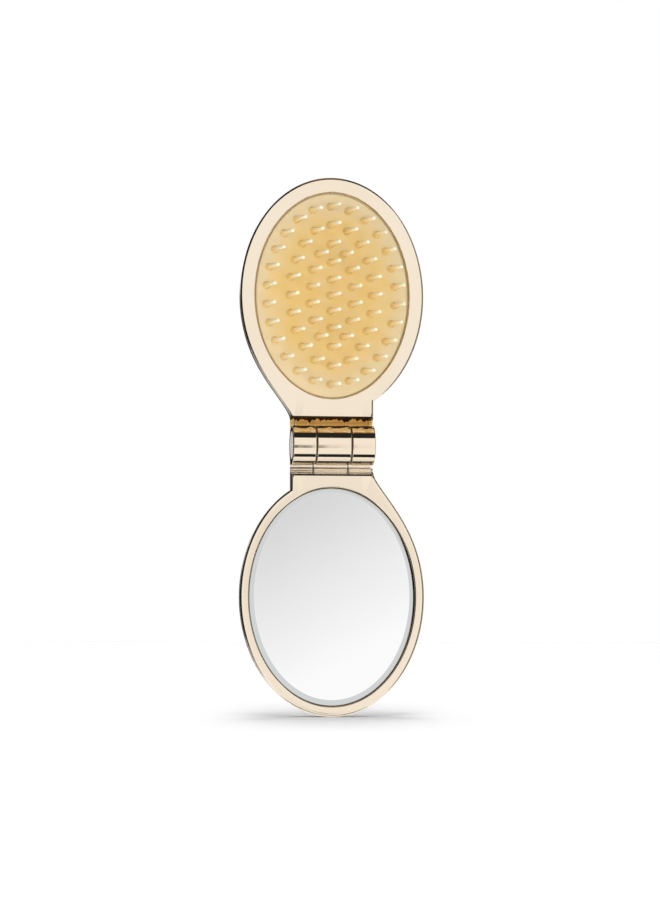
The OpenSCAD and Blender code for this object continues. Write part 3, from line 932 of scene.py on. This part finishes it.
def back_shell(name, side, back):
    """Rounded back of a half with its tongue, cut free round the hinge."""
    rise = back - CURVE_Y
    inside = arc(BACK_CURVE, CURVE_Y, BACK_CURVE - WALL, rise - WALL, 90, 168, 10)
    tongue = [(WALL + 0.9, CURVE_Y + 0.2), (WALL + 0.9, SEAM - 1.2), (WALL + 0.1, SEAM - 1.2),
              (WALL + 0.1, SEAM)]
    seam = [(TUCK + 0.15, SEAM)]
    start = math.asin((SEAM + SEAM_CUT - BELLY_Y) / (back - BELLY_Y))
    wide = (BACK_CURVE - TUCK) / math.cos(start)
    outside = arc(BACK_CURVE, BELLY_Y, wide, back - BELLY_Y, 180 - math.degrees(start), 90, 24)
    flat = [(BACK_CURVE + 0.3, back)]
    profile = [(BACK_CURVE + 0.2, back - WALL)] + inside + tongue + seam + outside + flat
    shell = loft(name, OUTLINE, profile, side)
    radius, depth, half = CORE_R + ROOM, CORE_BACK + ROOM, CORE_HALF + CORE_GAP
    section = arc(0.0, 0.0, radius, radius, 0, math.degrees(math.asin(depth / radius)), 24)
    section += [(-1, depth), (-1, -1), (radius, -1)]
    carve(shell, "DIFFERENCE", extrude_x("room for the neck", section, -half, half, side))
    carve(shell, "DIFFERENCE", cylinder_x(-ACROSS, ACROSS, CLEAR_R + ROOM, side))
    return smooth(merge_flat(shell))


brush_cover = back_shell("brush_cover_shell", BRUSH, BRUSH_BACK)
dress(brush_cover, "brush_half", CHAMPAGNE, "shell", "brush_cover")
mirror_cover = back_shell("mirror_cover_shell", MIRROR, MIRROR_BACK)
dress(mirror_cover, "mirror_half", CHAMPAGNE, "shell", "mirror_cover")

# %% [markdown]
# ## The cushion
# The cushion is a stiff oval pad of cream plastic with a softly rounded rim. It sits a little below the face,
# so a thin dark line runs round it. Its skin is a loft from the flange over the rim to the middle.

# %% Cushion
CUSHION_T = 1.4
TRAY_Y = CUSHION_Y + CUSHION_T + 1.0


def cushion(name):
    """Pad with a rounded rim and a flange that holds it in the frame."""
    rim = 0.7
    profile = [(1.2, CUSHION_Y + CUSHION_T), (1.2, TRAY_Y), (-FLANGE, TRAY_Y), (-FLANGE, TRAY_Y - 0.5)]
    profile += [(0.0, TRAY_Y - 0.5), (0.0, CUSHION_Y + 1.0)]
    profile += arc(rim, CUSHION_Y + rim, rim, rim, 180, 270, 8)
    profile += [(1.6, CUSHION_Y), (6.0, CUSHION_Y), (12.0, CUSHION_Y), (18.0, CUSHION_Y)]
    return loft(name, oval(CUSHION_W, CUSHION_H, 220), profile, BRUSH)


pad = smooth(cushion("cushion"))
dress(pad, "pin_bed", CUSHION, "cushion", "cushion_pad")

# %% [markdown]
# ## Sixty-five pins
# Three oval rings and one short row down the middle. The pins of a ring are the same distance apart along
# the oval, so the ring is measured first and then divided. Each pin is turned from one profile: a wide foot,
# a long taper and a ball tip, which is what keeps such pins from scratching the scalp. All pins stand
# `PIN_SHIFT` to one side and share one lean, given as the way that the tip moves per millimetre of height.

# %% Places of the pins
PIN_RINGS = ((21.5, 29.6, 26), (13.8, 23.5, 20), (7.1, 17.1, 14))
PIN_ROW = (-10.9, -5.2, 0.0, 5.2, 10.9)


def even_angles(a, b, count):
    """Angles at which count pins are evenly spaced along an oval, starting at its top."""
    t = np.linspace(math.pi / 2, math.pi / 2 + 2 * math.pi, 1441)
    steps = np.hypot(np.diff(a * np.cos(t)), np.diff(b * np.sin(t)))
    length = np.concatenate([[0.0], np.cumsum(steps)])
    return np.interp(np.arange(count) * length[-1] / count, length, t)


def pin_places():
    """Every pin's (x, v)."""
    places = [
        (a * math.cos(t), b * math.sin(t) + CENTRE)
        for a, b, count in PIN_RINGS
        for t in even_angles(a, b, count)
    ]
    return places + [(0.0, CENTRE + v) for v in PIN_ROW]


print(len(pin_places()), "pins")


# %% Profile of a pin
PIN_LEN = 9.8
PIN_TIP_R = 0.63
PIN_NECK_R = 0.57
PIN_FOOT_R = 1.02
PIN_FOOT_H = 0.8


def pin_profile():
    """(radius, height above the cushion) from the foot to the tip."""
    foot = [(1.32, -0.02), (1.26, 0.08), (1.14, 0.3), (PIN_FOOT_R, PIN_FOOT_H)]
    ball = PIN_LEN - PIN_TIP_R
    start = -math.degrees(math.acos(PIN_NECK_R / PIN_TIP_R))
    neck = ball + PIN_TIP_R * math.sin(math.radians(start)) - 0.15
    narrower, higher = (PIN_NECK_R - PIN_FOOT_R) / 6, (neck - PIN_FOOT_H) / 6
    taper = [(PIN_FOOT_R + narrower * k, PIN_FOOT_H + higher * k) for k in range(1, 7)]
    return foot + taper + arc(0.0, ball, PIN_TIP_R, PIN_TIP_R, start, 90, 9)[:-1]


# %% All pins
PIN_LEAN = (0.205, -0.03)
PIN_SHIFT = -0.6


def pins(name, sides=28):
    """All pins as one object. They lean the same way, give or take a fraction of a degree."""
    chance = np.random.default_rng(11)
    profile = pin_profile()
    n = len(profile)
    points, faces = [], []
    for x, v in pin_places():
        lean = np.array(PIN_LEAN) + chance.normal(0.0, 0.006, 2)
        x += PIN_SHIFT
        first = len(points)
        for s in range(sides):
            a = 2 * math.pi * s / sides
            for r, h in profile:
                points.append((x + r * math.cos(a) + lean[0] * h, CUSHION_Y - h,
                               v + r * math.sin(a) + lean[1] * h))
        tip, foot = len(points), len(points) + 1
        points.append((x + lean[0] * PIN_LEN, CUSHION_Y - PIN_LEN, v + lean[1] * PIN_LEN))
        points.append((x, CUSHION_Y + 0.02, v))
        for s in range(sides):
            a, b = first + s * n, first + (s + 1) % sides * n
            faces += [(a + i, b + i, b + i + 1, a + i + 1) for i in range(n - 1)]
            faces += [(a + n - 1, b + n - 1, tip), (a, foot, b)]
    return new_object(name, points, faces, BRUSH)


all_pins = smooth(pins("pins"), 60)
dress(all_pins, "pin_bed", PIN, "pins", "brush_pins")

# %% [markdown]
# ## The mirror
# A ground bevel runs round the glass. It is a separate facet, tilted by about 12 degrees, so it looks into
# another part of the room and reads as a cool grey band. The flat face sits a little off the middle, because
# no grinder is perfect, so the band is wider at one end. The backing paint creeps over the ground edge, which
# draws the fine dark line between glass and frame. Facet and edge get material slots of their own.


# %% Mirror glass
BEVEL_W = 1.5
BEVEL_DROP = 0.33
BEVEL_OFFSET = 0.3
BEVEL_SLOT, EDGE_SLOT = 1, 2


def mirror_plate(name):
    """Flat face, bevel and edge of the mirror."""
    front = FACE + GLASS_RECESS
    outer = oval(GLASS_W, GLASS_H, 288)
    inner = oval(GLASS_W - 2 * BEVEL_W, GLASS_H - 2 * BEVEL_W, 288, lift=-BEVEL_OFFSET)
    n = len(outer)
    rings = [(outer, front + GLASS_T), (outer, front + BEVEL_DROP), (inner, front)]
    points = [(x, y, v) for ring, y in rings for x, v in ring]
    faces = [tuple(range(n))]
    for k in range(2):
        faces += [(k * n + i, k * n + (i + 1) % n, (k + 1) * n + (i + 1) % n, (k + 1) * n + i)
                  for i in range(n)]
    faces.append(tuple(range(2 * n, 3 * n)))
    return new_object(name, points, faces, MIRROR)


plate = smooth(mirror_plate("mirror_plate"), 5)
dress(plate, "mirror_half", SILVER, "glass", "mirror_glass")
plate.data.materials.append(BEVEL)
plate.data.materials.append(BACKING_AND_SHADE)
for face in plate.data.polygons:
    if abs(face.normal.y) < 0.01:
        face.material_index = EDGE_SLOT
    elif abs(face.normal.y) < 0.999:
        face.material_index = BEVEL_SLOT

# %% [markdown]
# ## Springs
# Four conical springs push the tray forward. A coil of round wire is a tube swept along a cone's spiral.
# They shorten as the halves fold.


# %% Return springs
SPRING_X, SPRING_V = 13, 16


def springs(name):
    """Four conical coils between the tray and the back shell."""
    wire, small, large, turns, steps, sides = 0.25, 2.0, 4.0, 4, 96, 8
    y0, y1 = TRAY_Y + 1.0, BRUSH_BACK - WALL
    points, faces = [], []
    for cx in (-SPRING_X, SPRING_X):
        for cv in (-SPRING_V, SPRING_V):
            first = len(points)
            for i in range(steps + 1):
                s = i / steps
                turn = s * turns * 2 * math.pi
                for k in range(sides):
                    a = 2 * math.pi * k / sides
                    r = small + (large - small) * s + wire * math.cos(a)
                    y = y0 + wire + s * (y1 - y0 - 2 * wire) + wire * math.sin(a)
                    points.append((cx + r * math.cos(turn), y, CENTRE + cv + r * math.sin(turn)))
            for i in range(steps):
                a = first + i * sides
                faces += [(a + k, a + (k + 1) % sides, a + sides + (k + 1) % sides, a + sides + k)
                          for k in range(sides)]
            faces += [tuple(first + k for k in range(sides)),
                      tuple(first + steps * sides + k for k in range(sides))]
    return new_object(name, points, faces, BRUSH)


coils = smooth(springs("coil_springs"), 60)
dress(coils, "brush_half", STEEL, "steel", "return_springs")
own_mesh(coils)

# %% [markdown]
# ## Pieces that keep their CAD shape
# End caps, shaft, clips, washers, tray, ring, tape and screws are right as they are. They only get the
# finishes above, in their own material slots, and keep their bodies.

# %% Materials for the CAD nodes
KEPT = {
    "hinge_cap_left": CAP,
    "hinge_cap_right": CAP,
    "hinge_shaft": STEEL,
    "shaft_clip_left": STEEL,
    "shaft_clip_right": STEEL,
    "wave_washer": STEEL,
    "friction_washer_left": NYLON,
    "friction_washer_right": NYLON,
    "cushion_ring": CUSHION,
    "pad_carrier": CARRIER,
    "mirror_tape": FOAM,
    "mirror_screws": STEEL,
}
for node_name, finish in KEPT.items():
    kept = frame["nodes"][node_name]
    kept.data.materials.clear()
    kept.data.materials.append(finish)
print(len(KEPT), "CAD nodes keep their shape")

# %% [markdown]
# ## The floor
# The floor is a large grey sheet at the height of the lowest tip. Grey takes little of the even light of the
# room, so nearly all of its white comes from lamps of its own, and their shadow stays deep. Reflections look
# through it, so the room below is all that the polished shells see there.


# %% Floor
def floor(size=3.0, grey=0.25):
    """A large floor that reflections look through."""
    mesh = bpy.data.meshes.new("floor")
    mesh.from_pydata([(-size, -size, 0), (size, -size, 0), (size, size, 0), (-size, size, 0)], [],
                     [(0, 1, 2, 3)])
    obj = bpy.data.objects.new("floor", mesh)
    bpy.context.scene.collection.objects.link(obj)
    material, tree, shader = new_material("white floor")
    shader.inputs["Base Color"].default_value = (grey, grey, grey, 1.0)
    shader.inputs["Roughness"].default_value = 0.9
    shader.inputs["Specular IOR Level"].default_value = 0.0
    path = tree.nodes.new("ShaderNodeLightPath")
    clear = tree.nodes.new("ShaderNodeBsdfTransparent")
    either = tree.nodes.new("ShaderNodeMixShader")
    tree.links.new(path.outputs["Is Glossy Ray"], either.inputs["Fac"])
    tree.links.new(shader.outputs[0], either.inputs[1])
    tree.links.new(clear.outputs[0], either.inputs[2])
    tree.links.new(either.outputs[0], tree.nodes["Material Output"].inputs["Surface"])
    obj.data.materials.append(material)
    return obj


white_floor = floor()
print("floor", white_floor.dimensions.x, "m wide")

# %% [markdown]
# ## The lamps
# Two softboxes light the part at a plain level. Polished pieces don't see them, so they leave no square
# glints. The floor has lights of its own, which reach nothing else: suns tilted to the front and to the back,
# and weaker ones all round. Each throws a soft shadow from the tip where the part stands, and together they
# make one pool that is long from side to side. `AZIMUTH` turns this fan with the camera, so that the pool
# lies straight in the picture.


# %% Lamps
AZIMUTH = -7.5
AIM = (0.0, 0.0, 0.135)
FAN_SPREAD = 24


def softbox(name, location, target, size, power):
    """A rectangular area lamp that looks at a point of the part, unseen by polished parts."""
    data = bpy.data.lights.new(name, "AREA")
    data.shape = "RECTANGLE"
    data.size, data.size_y = size
    data.energy = power
    lamp = bpy.data.objects.new(name, data)
    bpy.context.scene.collection.objects.link(lamp)
    lamp.location = location
    lamp.rotation_mode = "QUATERNION"
    lamp.rotation_quaternion = (Vector(target) - Vector(location)).to_track_quat("-Z", "Y")
    lamp.visible_glossy = False
    return lamp


def floor_lights(strengths):
    """Suns that reach only the floor: strengths is {(tilt, turn): strength}, with angles in degrees."""
    only_floor = bpy.data.collections.new("only the floor")
    only_floor.objects.link(white_floor)
    for (tilt, turn), strength in strengths.items():
        data = bpy.data.lights.new("floor light", "SUN")
        data.energy = strength
        data.angle = math.radians(FAN_SPREAD)
        lamp = bpy.data.objects.new("floor light", data)
        bpy.context.scene.collection.objects.link(lamp)
        lamp.rotation_euler = (math.radians(tilt), 0.0, math.radians(AZIMUTH + turn))
        lamp.light_linking.receiver_collection = only_floor


softbox("key softbox", (0.10, -0.80, 0.075), AIM, (0.16, 0.10), 1.7)
softbox("fill softbox", (-0.75, -0.6, 0.35), AIM, (0.6, 0.6), 1.7)
fan = {(-33, 0): 2.5, (-17, 0): 2.5, (20, 0): 2.6, (40, 0): 2.75}
fan.update({(45, turn): 0.6 for turn in (60, -60, 120, -120)})
fan.update({(40, turn): 0.5 for turn in (90, -90)})
floor_lights(fan)
print(len(fan), "floor lights and 2 softboxes")

# %% [markdown]
# ## The room in the reflections
# Polished parts need something to reflect, so the world has three sides. The camera sees plain white. Matt
# surfaces get an even, weaker light. Reflections see a white room with dark shapes in it: they draw the fine
# dark outline, the bands of the barrel and the dark line along its left knuckle, which make a pale object
# stand out on white. Each shape is a range of directions: `x`, `y` and `z` are the parts of the unit
# direction, `across` and `aside` are x and y without their sign. Two numbers are one soft step, four are a
# step up and a step down. Real flags could hang there instead, but they would shade the floor.

# %% Dark shapes
DARK_SHAPES = {
    "ceiling panel": {"z": (0.635, 0.65, 0.955, 0.965)},
    "ceiling behind": {"y": (0.0, 0.1), "z": (0.3, 0.4)},
    "strip below in front": {"z": (-0.96, -0.95, -0.82, -0.80), "y": (0.05, -0.05)},
    "flags on both sides": {"across": (0.70, 0.80), "aside": (0.07, 0.11), "z": (-0.66, -0.62)},
    "flag near the left": {"x": (-0.46, -0.54), "y": (0.55, 0.45), "z": (-0.34, -0.28)},
    "low band behind": {"z": (-0.20, -0.17, 0.10, 0.15), "y": (0.70, 0.80), "x": (0.06, 0.02)},
    "bar in front": {
        "z": (-0.33, -0.31, -0.055, -0.045),
        "x": (0.09, 0.10, 0.1235, 0.1255),
        "y": (0.05, -0.05),
    },
}
FLAG_LIGHT = 0.02


def soft_range(tree, value, steps):
    """A mask with one soft step, or with a step up and a step down."""
    mask = remap(tree, value, *steps[:2])
    if len(steps) == 4:
        mask = math_node(tree, "MULTIPLY", mask, remap(tree, value, steps[3], steps[2]))
    return mask


def dark_shapes(tree, axes):
    """The mask of all dark shapes; axes is {name: socket}."""
    dark = None
    for ranges in DARK_SHAPES.values():
        shape = None
        for axis, steps in ranges.items():
            mask = soft_range(tree, axes[axis], steps)
            shape = mask if shape is None else math_node(tree, "MULTIPLY", shape, mask)
        dark = shape if dark is None else math_node(tree, "MAXIMUM", dark, shape)
    return dark


print("dark shapes:", ", ".join(DARK_SHAPES))

# %% [markdown]
# ## A grey card for the mirror
# Flat glass shows one small patch of the room. If that were plain white, the mirror would be as white as the
# floor, so an oval grey card hangs exactly there, graded from grey at its top to white. `CARD` holds its
# centre and its half sizes, as parts of the unit direction. A gold card straight above warms the hollows.


# %% Grey card
CARD = (0.1312, 0.0093, 0.0285, 0.0401)
CARD_LEVEL = 0.92
CARD_UP, CARD_ACROSS = -0.19, 0.08
CARD_MOST = 1.05


def card_light(tree, axes):
    """How bright the white room is in each direction, with the grey card in it."""
    across = math_node(tree, "MULTIPLY", math_node(tree, "SUBTRACT", axes["x"], CARD[0]), 1 / CARD[2])
    upward = math_node(tree, "MULTIPLY", math_node(tree, "SUBTRACT", axes["z"], CARD[1]), 1 / CARD[3])
    squares = [math_node(tree, "MULTIPLY", part, part) for part in (across, upward)]
    edge = remap(tree, math_node(tree, "ADD", *squares), 1.16, 1.0)
    on_card = math_node(tree, "MULTIPLY", edge, remap(tree, axes["y"], 0.05, -0.05))
    shade = math_node(tree, "MULTIPLY", upward, CARD_UP)
    shade = math_node(tree, "ADD", shade, math_node(tree, "MULTIPLY", across, CARD_ACROSS))
    shade = math_node(tree, "MINIMUM", math_node(tree, "ADD", shade, CARD_LEVEL), CARD_MOST)
    light = tree.nodes.new("ShaderNodeMix")
    tree.links.new(on_card, light.inputs["Factor"])
    light.inputs["A"].default_value = 1.0
    tree.links.new(shade, light.inputs["B"])
    return light.outputs["Result"]


# %% World
AMBIENT = 0.42
GOLD_CARD = (0.56, 0.28, 0.05)


def background(tree, colour, strength):
    """A Background shader; colour and strength are sockets or plain values."""
    node = tree.nodes.new("ShaderNodeBackground")
    for label, value in (("Color", colour), ("Strength", strength)):
        if isinstance(value, (float, tuple)):
            node.inputs[label].default_value = value
        else:
            tree.links.new(value, node.inputs[label])
    return node.outputs[0]


def build_world():
    """White to the camera; to reflections a room with flags and cards; soft light to everything else."""
    world = bpy.data.worlds.new("studio")
    bpy.context.scene.world = world
    world.use_nodes = True
    tree = world.node_tree
    tree.nodes.clear()
    direction = tree.nodes.new("ShaderNodeTexCoord")
    parts = tree.nodes.new("ShaderNodeSeparateXYZ")
    tree.links.new(direction.outputs["Generated"], parts.inputs["Vector"])
    axes = {axis: parts.outputs[axis.upper()] for axis in "xyz"}
    axes["across"] = math_node(tree, "ABSOLUTE", axes["x"], 0.0)
    axes["aside"] = math_node(tree, "ABSOLUTE", axes["y"], 0.0)
    lit = remap(tree, dark_shapes(tree, axes), 0.0, 1.0, 1.0, FLAG_LIGHT)
    strength = math_node(tree, "MULTIPLY", card_light(tree, axes), lit)
    white = (1.0, 1.0, 1.0)
    tint = blend_colour(tree, remap(tree, axes["z"], 0.955, 0.965), white, GOLD_CARD)
    shown = background(tree, (*white, 1.0), AMBIENT)
    reflected = background(tree, tint, strength)
    plain = background(tree, (*white, 1.0), 1.0)

    path = tree.nodes.new("ShaderNodeLightPath")
    rays = {"Is Glossy Ray": reflected, "Is Transmission Ray": plain, "Is Camera Ray": plain}
    for ray, light in rays.items():
        choose = tree.nodes.new("ShaderNodeMixShader")
        tree.links.new(path.outputs[ray], choose.inputs["Fac"])
        tree.links.new(shown, choose.inputs[1])
        tree.links.new(light, choose.inputs[2])
        shown = choose.outputs[0]
    out = tree.nodes.new("ShaderNodeOutputWorld")
    tree.links.new(shown, out.inputs["Surface"])
    print("world:", len(tree.nodes), "nodes")
    return world


build_world()
bpy.context.scene.view_settings.view_transform = "Standard"

# %% [markdown]
# ## The camera
# It stands a little to the left and a little below the hinge and looks slightly up, so the left side of the
# shells shows and the pins point to the upper right. Both ovals keep their full height. The lens follows from
# the distance and from the real height that the frame holds at the part.

# %% Camera
ELEVATION, DISTANCE = -3.6, 0.90
TARGET = Vector((-0.0008, AXIS[1], 0.0878))
MM_PER_PIXEL = 0.3303
FRAME_HEIGHT = 900


def camera():
    """Camera at the given angle, with the lens that shows the frame's height at the part."""
    data = bpy.data.cameras.new("camera")
    data.sensor_width = 36.0
    data.lens = data.sensor_width * DISTANCE / (FRAME_HEIGHT * MM_PER_PIXEL * MM)
    obj = bpy.data.objects.new("camera", data)
    bpy.context.scene.collection.objects.link(obj)
    a, e = math.radians(AZIMUTH), math.radians(ELEVATION)
    back = Vector((math.sin(a) * math.cos(e), -math.cos(a) * math.cos(e), math.sin(e)))
    obj.location = TARGET + back * DISTANCE
    obj.rotation_mode = "QUATERNION"
    obj.rotation_quaternion = (-back).to_track_quat("-Z", "Y")
    data.clip_start = 0.01
    bpy.context.scene.camera = obj
    return obj


camera()
